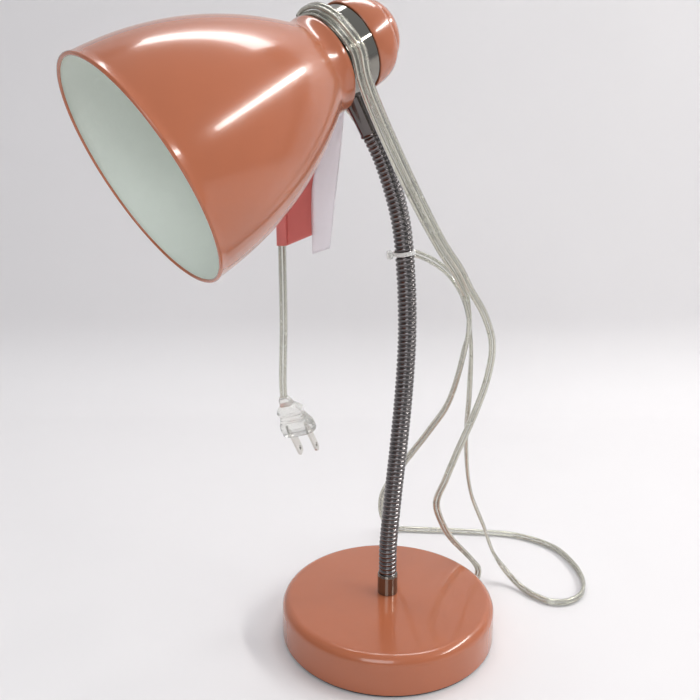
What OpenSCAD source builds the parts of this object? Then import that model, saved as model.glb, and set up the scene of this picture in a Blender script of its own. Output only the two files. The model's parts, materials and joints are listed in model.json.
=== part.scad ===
// Gooseneck desk lamp: weighted round base, ribbed arm of nine sections, bell shade, cord and plug.
// Millimetres, +Z up, origin under the middle of the base, the shade looks towards -X.

/* [Base] */
// Diameter of the base cover
base_d = 147; // [110:1:190]
// Height of the base cover over its pad
base_h = 26.5; // [22:0.5:40]
// Radius of the cover's shoulder
shoulder_r = 6.5; // [3:0.5:10]
// Rise of the cover's slightly domed top
crown_h = 0.8; // [0.2:0.1:1.5]
// Sheet thickness of the base cover
base_sheet = 1; // [0.6:0.1:1.4]
// Thickness of the pad under the base
pad_t = 1.5; // [1:0.25:3]
// Thickness of the iron weight
weight_t = 16; // [12:0.5:19]
// Height of the cord outlet over the weight's underside
outlet_up = 7; // [6.5:0.5:8]

/* [Arm] */
// Outer diameter of the lower collar
collar_d = 14; // [13.5:0.25:17]
// Height of the lower collar
collar_h = 14.6; // [13:0.2:20]
// Outer diameter over the ribs
arm_d = 12.5; // [12.4:0.1:13.2]
// Depth of the grooves between the ribs
groove_t = 0.95; // [0.6:0.05:1.05]
// Bore of the arm for the lead
arm_bore = 5.2; // [4:0.2:5.6]
// Distance between the ribs
rib_pitch = 3.05; // [2.8:0.05:4]
// Length of the section that stands in the lower collar
root_l = 18; // [14:0.5:24]
// Length of each free section
link_l = 37.5; // [30:0.5:42]
// Length of the section that carries the head
tip_l = 18.5; // [14:0.5:24]

/* [Head] */
// Radius of the shade at its mouth
mouth_r = 62.7; // [55:0.1:70]
// Length of the bell from the mouth to the waist
bell_l = 113; // [95:0.5:125]
// Radius of the shade's neck
neck_r = 27.2; // [26.2:0.1:29]
// Length of the neck behind the waist
neck_l = 11.5; // [10:0.5:14]
// Sheet thickness of the shade
shade_sheet = 0.9; // [0.6:0.1:1.3]
// Radius of the bead that stiffens the mouth
bead_r = 1.1; // [0.9:0.1:1.6]
// Outer radius of the bright housing
housing_r = 24.9; // [24.4:0.1:25.4]
// Sheet thickness of the housing
housing_t = 0.9; // [0.7:0.1:1.4]
// Width of the housing that shows between neck and cap
housing_show = 20.5; // [18:0.5:26]
// Radius of the rear cap's skirt
cap_r = 26.6; // [26.3:0.1:28.5]
// Length of the cap's straight skirt
cap_skirt = 4.5; // [4:0.5:8]
// Length of the cap's rounded shoulder
cap_shoulder = 14.2; // [11:0.2:18]
// Length of the cap's domed end
cap_dome = 18; // [12:0.5:20]
// Radius of the crease round the cap's domed end
crease_r = 19.8; // [16:0.2:22]
// Length of the collar between arm and housing
ferrule_l = 23.4; // [19:0.2:28]
// Outer diameter of that collar at the arm
ferrule_d = 13.2; // [13:0.1:15]

/* [Lampholder] */
// Bore of the screw shell, for an E26 lamp
shell_bore = 26.2; // [26:0.1:27]
// Depth of the screw shell
shell_depth = 27; // [22:0.5:30]
// Wall of the screw shell
shell_t = 0.6; // [0.4:0.1:1]
// Outer diameter of the lampholder body
holder_d = 34; // [32:0.5:36]
// Length of the lampholder body
holder_l = 42; // [38:0.5:46]

/* [Switch] */
// Diameter of the turn knob
knob_d = 12; // [9:0.5:14]
// Length of the turn knob
knob_l = 9; // [7:0.5:11]
// Diameter of the switch shaft
shaft_d = 4; // [3:0.25:5]

/* [Cord and plug] */
// Width of the flat cord
cord_w = 5.4; // [4.4:0.1:5.4]
// Thickness of the flat cord
cord_t = 2.7; // [2.2:0.1:2.8]
// Distance between the middles of the plug's blades
blade_gap = 12.7; // [12:0.1:13]
// Length of the plug's blades
blade_l = 17.5; // [15:0.5:18]
// Width of the plug body across the blades
plug_w = 25; // [23:0.5:28]
// Length of the plug body
plug_l = 30; // [27:0.5:33]
// Thickness of the plug body
plug_t = 13; // [11:0.5:15]
// Width of the paper flag on the cord
flag_w = 44; // [30:1:50]
// Height of the paper flag on the cord
flag_h = 70; // [50:1:80]

/* [Hidden] */

$fn = 72;
fit = 0.15;
run = 0.3;
nipple_r = 4.8;
nipple_bore = 2.6;
nut_af = 15;
nut_t = 3.5;
cover_bottom = pad_t;
cover_top = pad_t + base_h;
collar_seat = cover_top;
arm_start = collar_seat + collar_h;
spigot_l = 9;

// Joint sizes of the arm: each section's ball turns in the next one's cup.
groove_r = arm_d/2 - groove_t;
ball_r = 4.6;
cup_r = ball_r + run;
rib_w = 1.6;
rib_low = 1.15;
rib_high = 2.57;

// Lean of each section from upright, towards +X.
lean = [0, 5.6, 6.8, 5.6, 2.9, -2.5, -8.1, -20.5, -30.5];
function section_l(i) = i == 0 ? root_l : i == 8 ? tip_l : link_l;
function hinge(i) = i == 0 ? [0, 0, arm_start]
    : hinge(i - 1) + section_l(i - 1)*[sin(lean[i - 1]), 0, cos(lean[i - 1])];

// Head frame: middle of the housing, +Z to the rear, +X down the arm's collar.
head_lean = lean[8];
head_at = hinge(9) + (ferrule_l + housing_r)*[sin(head_lean), 0, cos(head_lean)];
neck_end = bell_l + neck_l;
collar_at = neck_end + 11.1;
housing_end = neck_end + housing_show + cap_skirt - 1;
holder_front = neck_end - holder_l + 2;
cap_from = neck_end + housing_show;

module at_section(i) translate(hinge(i)) rotate([0, lean[i], 0]) children();
module at_head() translate(head_at) rotate([0, 90 + head_lean, 0]) children();
module at_mouth() at_head() translate([0, 0, -collar_at]) children();

function arc(r, a0, a1, n, c = [0, 0]) = [for (i = [0:n]) let (a = a0 + (a1 - a0)*i/n) c + r*[cos(a), sin(a)]];

module hex_nut(af, t, bore) difference() {
    cylinder(h = t, r = af/2/cos(30), $fn = 6);
    translate([0, 0, -1]) cylinder(h = t + 2, r = bore);
}

// Base

function cover_line(r, h, s, c) = concat(
    [[r, 0]],
    arc(s, 0, 90, 8, [r - s, h - c - s]),
    [for (i = [1:5]) let (k = 1 - i/6) [(r - s)*k, h - c*k*k]]);

module base_cover() color("#bc7052") difference() {
    translate([0, 0, cover_bottom]) rotate_extrude($fn = 96) difference() {
        polygon(concat(cover_line(base_d/2, base_h, shoulder_r, crown_h), [[0, base_h], [0, 0]]));
        polygon(concat([[base_d/2 - base_sheet, -1]],
            cover_line(base_d/2 - base_sheet, base_h - base_sheet, shoulder_r - base_sheet, crown_h),
            [[0, base_h - base_sheet], [0, -1]]));
    }
    cylinder(h = cover_top + 5, r = nipple_r + run);
    translate([base_d/2 - 12, 0, outlet_z]) rotate([0, 90, 0]) cylinder(h = 20, r = bush_r + 0.1);
}

outlet_z = pad_t + outlet_up;
bush_r = 5;
weight_r = base_d/2 - base_sheet - 0.6;
weight_top = pad_t + weight_t;
boss_top = cover_top - base_sheet - 0.05;

module base_weight() color("dimgray") difference() {
    union() {
        translate([0, 0, pad_t]) cylinder(h = weight_t - 1.5, r = weight_r, $fn = 96);
        translate([0, 0, weight_top - 1.5]) cylinder(h = 1.5, r1 = weight_r, r2 = weight_r - 1.5, $fn = 96);
        translate([0, 0, pad_t]) cylinder(h = boss_top - pad_t, r = 13);
    }
    translate([0, 0, pad_t - 1]) cylinder(h = 9, r = 13 - 3);
    cylinder(h = 60, r = nipple_r + run);
    translate([0, -4.5, pad_t - 1]) cube([base_d, 9, outlet_up + 5.5]);
    translate([weight_r - 9, 0, outlet_z]) rotate([0, 90, 0]) cylinder(h = 12, r = bush_r + 2);
}

module base_pad() color("#2c2c2c") cylinder(h = pad_t, r = base_d/2 - 1, $fn = 96);

// The outlet's bush has a flange on each side of the cover and a slot for the flat cord.
bush_out = base_d/2 + 4.5;
module cord_bushing() color("#303030") translate([base_d/2, 0, outlet_z]) rotate([0, 90, 0])
    difference() {
        union() {
            translate([0, 0, -6]) cylinder(h = 10.5, r = bush_r - 0.05);
            translate([0, 0, 0.25]) cylinder(h = 1.8, r = bush_r + 1.4);
            translate([0, 0, 2]) cylinder(h = 2.5, r1 = bush_r + 0.4, r2 = bush_r - 1.2);
            translate([0, 0, -base_sheet - 2.4]) cylinder(h = 1.6, r = bush_r + 1.2);
        }
        translate([-cord_t/2 - fit, -cord_w/2 - fit, -8])
            cube([cord_t + 2*fit, cord_w + 2*fit, 10.5]);
        translate([0, 0, -8]) cylinder(h = 8, r = 3.2);
    }

nipple_top = collar_seat + collar_h - spigot_l - 0.6;
module base_nipple() color("silver") translate([0, 0, pad_t + 2.5]) difference() {
    cylinder(h = nipple_top - pad_t - 2.5, r = nipple_r);
    translate([0, 0, -1]) cylinder(h = nipple_top + 2, r = nipple_bore);
}

module base_nuts() color("silver") {
    translate([0, 0, pad_t + 8 - nut_t - 1.2]) hex_nut(nut_af, nut_t, nipple_r + 0.05);
    translate([0, 0, pad_t + 8 - 1.2]) difference() {
        cylinder(h = 1.15, r = 8.6);
        translate([0, 0, -1]) cylinder(h = 4, r = nipple_r + 0.05);
        rotate([0, 0, 20]) translate([0, -0.6, -1]) cube([12, 1.2, 4]);
    }
}

module lower_collar() color("gainsboro") translate([0, 0, collar_seat]) rotate_extrude() polygon([
    [nipple_r + 0.05, 0.05], [collar_d/2 - 0.3, 0.05], [collar_d/2, 0.35], [collar_d/2, collar_h - 1.4],
    [collar_d/2 - 0.25, collar_h - 1.1], [collar_d/2 - 0.25, collar_h - 0.5],
    [collar_d/2 - 0.7, collar_h - 0.05], [groove_r + 0.1, collar_h - 0.05],
    [groove_r + 0.1, collar_h - spigot_l], [nipple_r + 0.05, collar_h - spigot_l]]);

// Arm

function rib(z) = [[groove_r, z - rib_w/2], [arm_d/2 - 0.25, z - 0.45], [arm_d/2, z - 0.14],
    [arm_d/2, z + 0.14], [arm_d/2 - 0.25, z + 0.45], [groove_r, z + rib_w/2 - 0.1]];

function rib_count(l0, l1) = max(1, round((l1 - l0)/rib_pitch));
function ribs(l0, l1) = let (n = rib_count(l0, l1)) [for (i = [0:n]) each rib(l0 + (l1 - l0)*i/n)];

function ball_line(l) = arc(ball_r, -24, acos(arm_bore/2/ball_r), 9, [0, l]);
function cup_line() = arc(cup_r, acos(arm_bore/2/cup_r), asin(run/cup_r), 7);

// A free section: cup and first rib at its foot, last rib and ball at its top.
module link() rotate_extrude($fn = 48) polygon(concat([[groove_r, run]],
    ribs(rib_low, link_l - rib_high), ball_line(link_l), cup_line()));

module arm_root() color("#4a4644") at_section(0) rotate_extrude($fn = 48) polygon(concat(
    [[arm_bore/2, 0.4 - spigot_l], [groove_r - 0.05, 0.4 - spigot_l], [groove_r - 0.05, 0]],
    ribs(1.2, root_l - rib_high), ball_line(root_l)));

module arm_tip() color("#4a4644") at_section(8) rotate_extrude($fn = 48) polygon(concat(
    [[groove_r, run]], ribs(rib_low, tip_l - 1.2),
    [[groove_r - 0.05, tip_l], [groove_r - 0.05, tip_l + spigot_l - 0.4],
    [arm_bore/2, tip_l + spigot_l - 0.4]], cup_line()));

module arm_link_1() color("#4a4644") at_section(1) link();
module arm_link_2() color("#565250") at_section(2) link();
module arm_link_3() color("#4a4644") at_section(3) link();
module arm_link_4() color("#565250") at_section(4) link();
module arm_link_5() color("#4a4644") at_section(5) link();
module arm_link_6() color("#565250") at_section(6) link();
module arm_link_7() color("#4a4644") at_section(7) link();

// Head

// Revolved about the arm's line, and hollowed to fit round the housing.
module upper_collar() color("#5a5552") at_head() difference() {
    translate([housing_r + ferrule_l, 0, 0]) rotate([0, -90, 0]) rotate_extrude() polygon([
        [groove_r + 0.1, 0.05], [ferrule_d/2 + 0.1, 0.05], [ferrule_d/2 + 0.4, 0.4],
        [ferrule_d/2 + 0.4, 1.2], [ferrule_d/2, 1.6], [ferrule_d/2 + 0.55, ferrule_l + 2],
        [nipple_r + 0.05, ferrule_l + 2], [nipple_r + 0.05, spigot_l], [groove_r + 0.1, spigot_l]]);
    translate([0, 0, -20]) cylinder(h = 40, r = housing_r + 0.05);
}

module head_nipple() color("silver") at_head()
    translate([housing_r - housing_t - 6.5, 0, 0]) rotate([0, 90, 0]) difference() {
        cylinder(h = 17 + housing_t, r = nipple_r);
        translate([0, 0, -1]) cylinder(h = 40, r = nipple_bore);
    }

module head_nut() color("silver") at_head() intersection() {
    translate([housing_r - housing_t - 5.6, 0, 0]) rotate([0, 90, 0]) {
        hex_nut(13, 3.2, nipple_r + 0.05);
        translate([0, 0, 3.2]) difference() {
            cylinder(h = 4, r = 7);
            translate([0, 0, -1]) cylinder(h = 8, r = nipple_r + 0.05);
        }
    }
    translate([0, 0, -20]) cylinder(h = 40, r = housing_r - housing_t - 0.05);
}

module housing() color("gainsboro") difference() {
    at_mouth() translate([0, 0, neck_end + 0.05]) difference() {
        cylinder(h = housing_end - neck_end, r = housing_r);
        translate([0, 0, -1]) cylinder(h = housing_end + 2, r = housing_r - housing_t);
    }
    at_head() rotate([0, 90, 0]) cylinder(h = 40, r = nipple_r + 0.1);
    at_head() rotate([-90, 0, 0]) cylinder(h = 40, r = bush_d/2 + 0.1);
}

// The bell follows one power curve from mouth to waist.
function bell_r(s) = mouth_r - (mouth_r - neck_r - 0.6)*pow(s/bell_l, 2.15);
function bell_slope(s) = (mouth_r - neck_r - 0.6)*2.15*pow(s/bell_l, 1.15)/bell_l;
function bell_in(s) = bell_r(s) - shade_sheet*sqrt(1 + pow(bell_slope(s), 2));
bell_n = 22;

module shade() color("#c17a5a") at_mouth() rotate_extrude($fn = 96) {
    polygon(concat(
        [for (i = [0:bell_n]) let (s = bell_l*i/bell_n) [bell_r(s), s]],
        [[neck_r + 0.1, bell_l + 1.3], [neck_r - 0.1, bell_l + 3], [neck_r, neck_end - 3],
        [neck_r - 0.3, neck_end - 1.2], [neck_r - 1.2, neck_end - 0.3], [neck_r - 2.1, neck_end],
        [holder_d/2 + 0.2, neck_end], [holder_d/2 + 0.2, neck_end - shade_sheet],
        [neck_r - 2.3, neck_end - shade_sheet], [neck_r - shade_sheet - 0.3, neck_end - 2.4],
        [neck_r - shade_sheet - 0.1, neck_end - 4], [neck_r - shade_sheet - 0.1, bell_l + 3]],
        [for (i = [bell_n:-1:0]) let (s = bell_l*i/bell_n) [bell_in(s) - (i == bell_n ? 0.1 : 0), s]]));
    translate([mouth_r - shade_sheet/2, 0]) circle(r = bead_r, $fn = 16);
}

// Ring nut that clamps the shade on the lampholder's thread.
module shade_ring() color("#d9d4c4") at_mouth() translate([0, 0, neck_end - shade_sheet - 4.05])
    difference() {
        union() {
            cylinder(h = 4, r = holder_d/2 + 3);
            for (i = [0:11]) rotate([0, 0, 30*i]) translate([holder_d/2 + 1.5, -1, 0]) cube([2.3, 2, 3]);
        }
        translate([0, 0, -1]) cylinder(h = 8, r = holder_d/2 + 0.1);
    }

function cap_line(r0, rc, s0, sk, sh, dm) = concat(
    [[r0, s0], [r0, s0 + sk]],
    [for (i = [1:7]) let (a = 90*i/7) [rc + 0.5 + (r0 - rc - 0.5)*pow(cos(a), 0.75), s0 + sk + sh*pow(sin(a), 1.25)]],
    [for (i = [0:9]) let (a = 90*i/9) [rc*pow(cos(a), 1.1), s0 + sk + sh + 0.35 + dm*pow(sin(a), 1.1)]]);

module rear_cap() color("#bc7052") at_mouth() rotate_extrude($fn = 96) difference() {
    polygon(concat([[0, cap_from]], cap_line(cap_r, crease_r, cap_from, cap_skirt, cap_shoulder, cap_dome)));
    polygon(concat([[0, cap_from - 1]],
        cap_line(housing_r + 0.1, crease_r - 1.4, cap_from - 1, cap_skirt + 0.6, cap_shoulder - 0.4, cap_dome - 1)));
}

// Lampholder

module lampholder_body() color("#efe9dc") at_mouth() translate([0, 0, holder_front]) difference() {
    union() {
        cylinder(h = holder_l, r = holder_d/2);
        translate([0, 0, 0]) cylinder(h = 3, r = holder_d/2 + 1.2);
    }
    translate([0, 0, -1]) cylinder(h = shell_depth + 2, r = shell_bore/2 + shell_t + 0.1);
    translate([0, 0, 20]) cylinder(h = holder_l, r = 2.2);
    for (a = [0, 180]) rotate([0, 0, a + 45]) translate([11, 0, holder_l - 6]) cylinder(h = 8, r = 1.6);
}

module screw_shell() color("#c9a94f") at_mouth() translate([0, 0, holder_front + 0.8]) difference() {
    cylinder(h = shell_depth, r = shell_bore/2 + shell_t);
    translate([0, 0, -1]) cylinder(h = shell_depth + 1 - shell_t, r = shell_bore/2);
    cylinder(h = shell_depth + 2, r = 5.5);
}

// Pressed flat, as a lamp leaves it.
module centre_contact() color("#c9a94f") at_mouth() translate([0, 0, holder_front + shell_depth + 0.95]) {
    translate([0, 0, -0.7]) cylinder(h = 0.7, r = 3.6);
    translate([0, 0, -0.1]) cylinder(h = 5, r = 1.8);
}

// Plate behind the lampholder, held by two screws.
plate_at = holder_front + holder_l + 0.05;
module mount_plate() color("silver") at_mouth() translate([0, 0, plate_at]) difference() {
    cylinder(h = 1.2, r = housing_r - housing_t - 0.2);
    translate([0, 0, -1]) cylinder(h = 4, r = 3.5);
    for (a = [0, 180]) rotate([0, 0, a + 45]) translate([11, 0, -1]) cylinder(h = 4, r = 1.7);
    translate([housing_r - 13, -9, -1]) cube([14, 18, 4]);
    translate([-9, housing_r - 12, -1]) cube([18, 14, 4]);
}

module plate_screws() color("silver") at_mouth() for (a = [0, 180])
    rotate([0, 0, a + 45]) translate([11, 0, plate_at]) {
        translate([0, 0, -5.5]) cylinder(h = 6.8, r = 1.5);
        translate([0, 0, 1.25]) difference() {
            cylinder(h = 1.6, r = 2.8);
            translate([-4, -0.4, 0.8]) cube([8, 0.8, 2]);
        }
    }

// Switch on the housing's far side, its shaft along +Y.
bush_d = 8;
switch_front = housing_r - housing_t - 1.6;
module switch_body() color("#2b2b2b") at_head() rotate([-90, 0, 0]) {
    translate([0, 0, switch_front - 10]) cylinder(h = 10, r = 7.5);
    translate([0, 0, switch_front]) cylinder(h = housing_r + 3.2 - switch_front, r = bush_d/2);
    translate([0, 0, switch_front]) cylinder(h = housing_r + 3.2 + knob_l - 1.5 - switch_front, r = shaft_d/2);
}

module switch_nut() color("gainsboro") at_head() difference() {
    rotate([-90, 0, 0]) translate([0, 0, housing_r - 1]) hex_nut(11, 3.2, bush_d/2 + 0.05);
    translate([0, 0, -20]) cylinder(h = 40, r = housing_r + 0.05);
}

knob_seat = housing_r + 3.4;
module switch_knob() color("#26221f") at_head() rotate([-90, 0, 0]) translate([0, 0, knob_seat]) difference() {
    union() {
        cylinder(h = knob_l - 1, r = knob_d/2);
        translate([0, 0, knob_l - 1]) cylinder(h = 1, r1 = knob_d/2, r2 = knob_d/2 - 1);
        translate([-0.9, -knob_d/2 + 1.2, knob_l - 1]) cube([1.8, knob_d - 2.4, 1.8]);
    }
    translate([0, 0, -1]) cylinder(h = knob_l, r = shaft_d/2 + 0.1);
    for (i = [0:15]) rotate([0, 0, 22.5*i]) translate([knob_d/2 + 0.25, 0, -1])
        cylinder(h = knob_l - 0.5, r = 0.75, $fn = 13);
}

// Cord: flat twin lead, 8-sided, one ring at each chosen point.

function unit(v) = v/norm(v);
function turn(p, i) = unit(i == 0 ? p[1] - p[0] : i == len(p) - 1 ? p[i] - p[i - 1]
    : unit(p[i + 1] - p[i]) + unit(p[i] - p[i - 1]));
function edge(t, n, f) = let (u = unit(cross(t, n)), v = cross(u, t)) [for (k = [0:7])
    let (a = 22.5 + 45*k) cord_w/2/cos(22.5)*cos(a)*u*f + cord_t/2/cos(22.5)*sin(a)*v*f];

// Sweeps the oval section along p, its flat side facing the way n(i) says, with square ends.
module lead(p, n, first = undef, last = undef) {
    m = len(p);
    ts = [for (i = [0:m - 1]) i == 0 && first != undef ? first : i == m - 1 && last != undef ? last : turn(p, i)];
    polyhedron(
        points = [for (i = [0:m - 1]) each [for (e = edge(ts[i], n[i], 1)) p[i] + e]],
        faces = concat([[for (k = [0:7]) k]], [[for (k = [7:-1:0]) 8*(m - 1) + k]],
            [for (i = [0:m - 2]) for (k = [0:7]) each
                [[8*i + k, 8*(i + 1) + k, 8*(i + 1) + (k + 1)%8], [8*i + k, 8*(i + 1) + (k + 1)%8, 8*i + (k + 1)%8]]]));
}

function blend(a, b, m) = [for (i = [0:m - 1]) let (k = i/(m - 1)) a*(1 - k) + b*k];
function flat(a, m) = [for (i = [0:m - 1]) a];

// A point beside the housing, from radius, angle round it and place along it.
function beside(r, a, z) = head_at + r*cos(a)*[cos(90 + head_lean), 0, -sin(90 + head_lean)]
    - r*sin(a)*[0, 1, 0] + z*[sin(90 + head_lean), 0, cos(90 + head_lean)];
function outward(a) = beside(1, a, 0) - head_at;
wrap_r = housing_r + cord_t/2 + 0.8;
wrap_left = neck_end - collar_at + cord_w/2 + 0.6;
wrap_right = wrap_left + cord_w + 0.5;
wrap_n = 5;
function wrap(z, a1) = [for (i = [0:wrap_n]) beside(wrap_r, 90 + (a1 - 90)*i/wrap_n, z)];
function wrap_out(a1) = [for (i = [0:wrap_n]) outward(90 + (a1 - 90)*i/wrap_n)];

knee_right = [43, -27, 241];
knee_left = [46, -20, 236];
knee_back = [49, -14, 236];
cam = [0, -1, 0];
side = [0.95, -0.3, 0];
up = [0, 0, 1];

riser = [[bush_out, 0, outlet_z], [92, 0, 14], [93, 3, 30], [76, 8, 46], [60, 10, 62], [53, 8, 86],
    [58, -5, 122], [65, -21, 165], [64, -29, 200], [55, -29, 223], knee_right];
right = [knee_right, [31, -27, 254], [19, -27, 270], [-4, -27, 313], [-33, -27, 361]];
left = [knee_left, [31, -20, 252], [20, -20, 267], [-10, -26, 311], [-38, -27, 358]];
back = [[-50, 22, 397], [-44, 34, 393], [-35, 43, 385], [-23, 45, 374], [-11, 41, 361], [4, 28, 332],
    [13, 17, 296]];
drop = [[20, 5, 252], [35, -7, 247], [43, -12, 243], knee_back, [53, -15, 224], [55, -17, 202],
    [60, -12, 166], [69, -1, 126], [83, 7, 81], [99, 7, 47], [108, 3, 22], [113, -8, 9], [114, -20, 3],
    [114, -32, 1.6]];
loop = [[114, -32, 1.6], [118, -46, 1.6], [128, -53, 1.6], [143, -53, 1.6], [160, -43, 1.6],
    [177, -20, 1.6], [186, 10, 1.6], [176, 42, 1.6], [140, 76, 1.6], [100, 108, 1.6]];
away = [knee_left, [49, -21, 218], [49, -16, 194], [57, 6, 155], [62, 31, 127], [66, 70, 84],
    [71, 103, 45], [78, 113, 22], [86, 115, 7], [93, 112, 2.2], [100, 108, 1.6]];
hang = [[-58, 20, 393], [-57, 32, 388], [-55, 42, 379], [-53, 48, 365], [-51.5, 50, 347],
    [-51.5, 50, 300], [-52, 49, 215], [-53, 49, 180]];
plug_at = [-53, 49, 166];
plug_turn = [0, 151, -34];

// Middle of the arm where the tie holds the lead against it, and the lead's place beside it.
tie_z = 15;
tie_a = 56;
tie_gap = 0.2;
lead_off = arm_d/2 + run + cord_t/2;
function on_arm(x, y, z) = hinge(6) + [x*cos(lean[6]) + z*sin(lean[6]), y, z*cos(lean[6]) - x*sin(lean[6])];
held_top = on_arm(lead_off*cos(tie_a), lead_off*sin(tie_a), tie_z + 6);
held_low = on_arm(lead_off*cos(tie_a), lead_off*sin(tie_a), tie_z - 5);
to_lead = [cos(tie_a), sin(tie_a), 0];

module cord_riser() color("#c9cbb8") lead(riser, concat(blend(up, [0.6, -0.8, 0], 3),
    blend([0.5, -0.9, 0], cam, len(riser) - 3)), first = [1, 0, 0]);
module cord_strand_right() color("#c9cbb8") lead(concat(right, wrap(wrap_right, 200)),
    concat(flat(cam, len(right)), wrap_out(200)), first = turn(riser, len(riser) - 1), last = after_wrap(200));
module cord_strand_left() color("#c9cbb8") lead(concat(left, wrap(wrap_left, 196)),
    concat(flat(cam, len(left)), wrap_out(196)), first = unit(left[0] - away[1]), last = after_wrap(196));

function after_wrap(a) = unit(beside(1, a + 90, 0) - head_at);
module cord_back_run() color("#c9cbb8") lead(
    concat([beside(wrap_r, 200, wrap_right)], back, [held_top]),
    concat([outward(200)], blend(outward(215), to_lead, len(back) + 1)), first = after_wrap(200),
    last = unit(held_low - held_top));
module cord_drop() color("#c9cbb8") lead(concat([held_top, held_low], drop),
    concat(flat(to_lead, 2), blend([0.6, 0.8, 0], -cam, 4), blend([-0.5, 0.9, 0], -side, 3),
        blend([-0.9, 0.5, 0], [-0.8, 0.6, 0.5], 4), blend([-0.5, 0.3, 0.7], up, 3)),
    first = unit(held_low - held_top), last = unit([1, -6, 0]));
module cord_floor_run() color("#c9cbb8") lead(loop, flat(up, len(loop)), first = unit([1, -6, 0]),
    last = unit([-10, 8, 0]));
module cord_side_loop() color("#c9cbb8") lead(away,
    concat([cam], blend([0.5, -0.9, 0], side, 2), blend([0.9, -0.4, 0.2], [1, 0.3, 0.5], 4),
        blend([0.8, 0.6, 0.9], up, 3), [up]),
    first = unit(away[1] - left[0]), last = unit([10, -8, 0]));
module cord_plug_run() color("#c9cbb8") lead(
    concat([beside(wrap_r, 196, wrap_left)], hang, [plug_at]),
    concat([outward(196)], blend(outward(215), [-0.55, -0.83, 0], 4), flat([-0.55, -0.83, 0], 5)),
    first = after_wrap(196), last = plug_way);

// Tie round the arm and the lead, its head on the arm's far left.
function around(r1, r2, d) = let (a = acos((r1 - r2)/d))
    concat(arc(r1, a, 360 - a, 24), arc(r2, -a, a, 10, [d, 0]));
module tie_loop(g) polygon(around(arm_d/2 + g, cord_w/2 + 0.7 + g, lead_off - 1.5));
module cable_tie() color("#e4e6e2") at_section(6) translate([0, 0, tie_z - 1.3]) rotate([0, 0, tie_a]) {
    linear_extrude(2.6) difference() {
        tie_loop(tie_gap + 1.1);
        tie_loop(tie_gap);
    }
    translate([-3, arm_d/2 + tie_gap + 0.8, -1.2]) cube([4.6, 3.6, 5]);
    translate([-7, arm_d/2 + tie_gap + 2, 0.1]) cube([4.4, 1.1, 2.4]);
}

// Plug: moulded body with a wedge outline and finger steps, two blades.
plug_way = [sin(plug_turn[1])*cos(plug_turn[2]), sin(plug_turn[1])*sin(plug_turn[2]), cos(plug_turn[1])];
module at_plug() translate(plug_at) rotate(plug_turn) children();
module plug_body() color("#dfe3da") at_plug() difference() {
    intersection() {
        translate([0, plug_t/2 + 1, 0]) rotate([90, 0, 0]) linear_extrude(plug_t + 2) polygon([
            [-cord_w/2 - 1.5, 0], [-cord_w/2 - 2.2, 5], [-plug_w/2 + 3, 10.5], [-plug_w/2 + 3.6, 14],
            [-plug_w/2 + 0.6, plug_l - 9], [-plug_w/2, plug_l - 6], [-plug_w/2, plug_l - 1],
            [-plug_w/2 + 1, plug_l], [plug_w/2 - 1, plug_l], [plug_w/2, plug_l - 1],
            [plug_w/2, plug_l - 6], [plug_w/2 - 0.6, plug_l - 9], [plug_w/2 - 3.6, 14],
            [plug_w/2 - 3, 10.5], [cord_w/2 + 2.2, 5], [cord_w/2 + 1.5, 0]]);
        translate([-plug_w/2 - 1, 0, 0]) rotate([90, 0, 90]) linear_extrude(plug_w + 2) polygon([
            [-cord_t/2 - 1.3, 0], [-cord_t/2 - 1.8, 5], [-plug_t/2 + 0.8, 11], [-plug_t/2 + 1.4, 15],
            [-plug_t/2, plug_l - 7], [-plug_t/2, plug_l - 0.8], [-plug_t/2 + 0.8, plug_l],
            [plug_t/2 - 0.8, plug_l], [plug_t/2, plug_l - 0.8], [plug_t/2, plug_l - 7],
            [plug_t/2 - 1.4, 15], [plug_t/2 - 0.8, 11], [cord_t/2 + 1.8, 5], [cord_t/2 + 1.3, 0]]);
    }
    for (x = [-1, 1]) translate([x*blade_gap/2 - 0.8, -4.1, plug_l - 8]) cube([1.6, 8.2, 9]);
}
module plug_blades() color("gainsboro") at_plug() for (x = [-1, 1])
    translate([x*blade_gap/2 - 0.75, -3.2 - (x > 0 ? 0.7 : 0), plug_l - 7.9]) difference() {
        cube([1.5, 6.4 + (x > 0 ? 1.4 : 0), 7.9 + blade_l]);
        translate([-1, 3.2 + (x > 0 ? 0.7 : 0), 7.9 + blade_l - 4.5]) rotate([0, 90, 0]) cylinder(h = 4, r = 1.6);
    }

// Folded paper flag: a sleeve round the lead and two bare panels.
flag_low = 266;
module paper_flag() color("#e8e4df") translate([hang[5][0], hang[5][1], flag_low]) rotate([0, 0, -34])
    linear_extrude(flag_h) {
        difference() {
            circle(r = cord_w/2 + 0.75);
            circle(r = cord_w/2 + 0.4);
        }
        translate([cord_w/2 + 0.5, -0.2]) square([flag_w*0.5, 0.4]);
        translate([cord_w/2 + 0.4 + flag_w*0.5, -0.2]) rotate(-24) square([flag_w*0.42, 0.4]);
    }

for (i = [1:8]) echo(str("bend_", i), hinge(i));
echo("head_at", head_at);

base_cover();
base_weight();
base_pad();
cord_bushing();
base_nipple();
base_nuts();
lower_collar();
arm_root();
arm_link_1();
arm_link_2();
arm_link_3();
arm_link_4();
arm_link_5();
arm_link_6();
arm_link_7();
arm_tip();
upper_collar();
head_nipple();
head_nut();
housing();
shade();
shade_ring();
rear_cap();
lampholder_body();
screw_shell();
centre_contact();
mount_plate();
plate_screws();
switch_body();
switch_nut();
switch_knob();
cord_riser();
cord_strand_right();
cord_back_run();
cord_drop();
cord_floor_run();
cord_side_loop();
cord_strand_left();
cord_plug_run();
cable_tie();
plug_body();
plug_blades();
paper_flag();
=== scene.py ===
import json
import math
import bpy
import numpy as np
from mathutils import Matrix, Vector


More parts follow.
